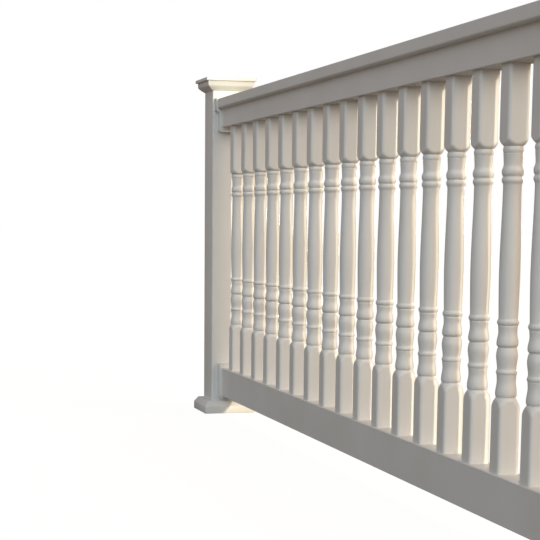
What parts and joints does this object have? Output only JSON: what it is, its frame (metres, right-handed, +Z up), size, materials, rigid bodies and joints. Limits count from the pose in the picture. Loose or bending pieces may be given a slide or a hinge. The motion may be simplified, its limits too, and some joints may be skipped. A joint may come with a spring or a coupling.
{
  "type": "vinyl railing",
  "caption": "White vinyl guard railing: hollow square posts with moulded caps and skirts, a T-shaped handrail, a box bottom rail and turned spindles between them.",
  "frame": {"origin": "centre of the left end post's foot, on the surface that the posts stand on", "axes": "+X along the rails from the left end post to the other posts, +Y across the railing, +Z up"},
  "size_m": [5.0278, 0.151, 0.9794],
  "materials": {
    "post_vinyl": "satin white vinyl extrusion",
    "moulding_vinyl": "satin white moulded vinyl",
    "rail_vinyl": "satin white vinyl extrusion",
    "spindle_vinyl": "satin white vinyl, formed to the shape of a turning",
    "bracket_vinyl": "satin white moulded vinyl"
  },
  "bodies": {
    "root": {"post_sleeve_left": "post_vinyl", "post_sleeve_middle": "post_vinyl", "post_sleeve_right": "post_vinyl", "post_cap_left": "moulding_vinyl", "post_cap_middle": "moulding_vinyl", "post_cap_right": "moulding_vinyl", "base_trim_left": "moulding_vinyl", "base_trim_middle": "moulding_vinyl", "base_trim_right": "moulding_vinyl", "top_rail_left_bay": "rail_vinyl", "top_rail_right_bay": "rail_vinyl", "bottom_rail_left_bay": "rail_vinyl", "bottom_rail_right_bay": "rail_vinyl", "spindles_left_bay": "spindle_vinyl", "spindles_right_bay": "spindle_vinyl", "top_bracket_1": "bracket_vinyl", "top_bracket_2": "bracket_vinyl", "top_bracket_3": "bracket_vinyl", "top_bracket_4": "bracket_vinyl", "bottom_bracket_1": "bracket_vinyl", "bottom_bracket_2": "bracket_vinyl", "bottom_bracket_3": "bracket_vinyl", "bottom_bracket_4": "bracket_vinyl"}
  },
  "joints": []
}
